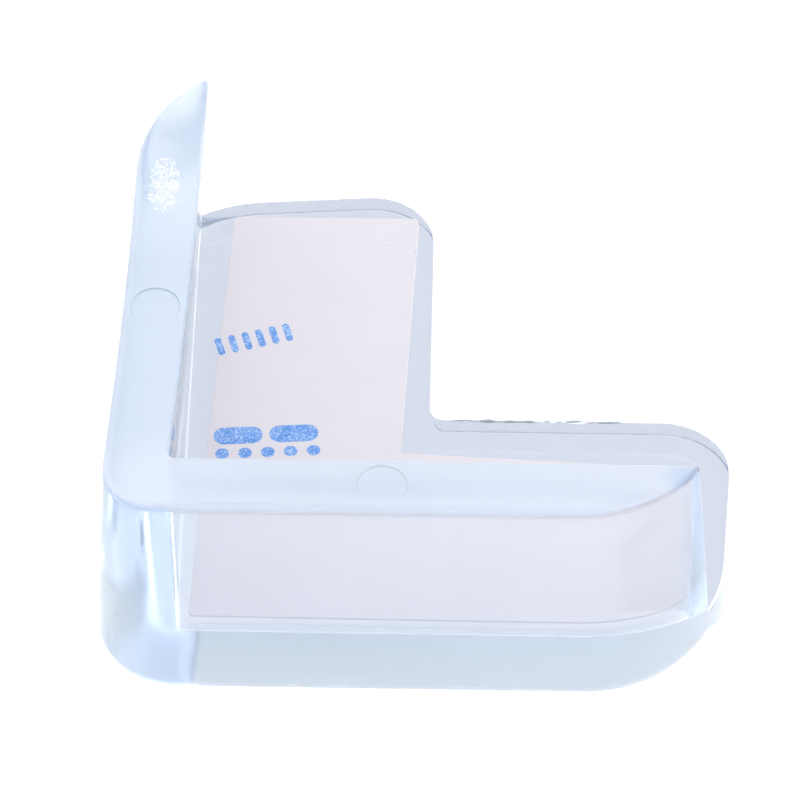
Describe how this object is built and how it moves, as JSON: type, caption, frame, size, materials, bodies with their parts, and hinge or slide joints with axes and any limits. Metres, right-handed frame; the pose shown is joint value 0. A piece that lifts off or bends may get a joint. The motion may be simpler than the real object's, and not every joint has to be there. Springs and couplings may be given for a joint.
{
  "type": "furniture corner protector",
  "caption": "Clear soft L-shaped guard with upright walls on its outer sides, and adhesive tape under a paper liner, that cushions the corner of a table top.",
  "frame": {"origin": "on the plate's outer face, straight below the corner where the inner faces of the two walls meet", "axes": "+X along one arm, +Y along the other, +Z from the plate's outer face towards the walls' rim"},
  "size_m": [0.0549, 0.0549, 0.0235],
  "materials": {
    "clear_plastic": "clear soft plastic with a faint blue tint, glossy moulded skin",
    "tape": "white double-sided tape",
    "liner_paper": null
  },
  "bodies": {
    "root": {"corner_guard": "clear_plastic", "adhesive_tape": "tape", "release_liner": "liner_paper"}
  },
  "joints": []
}
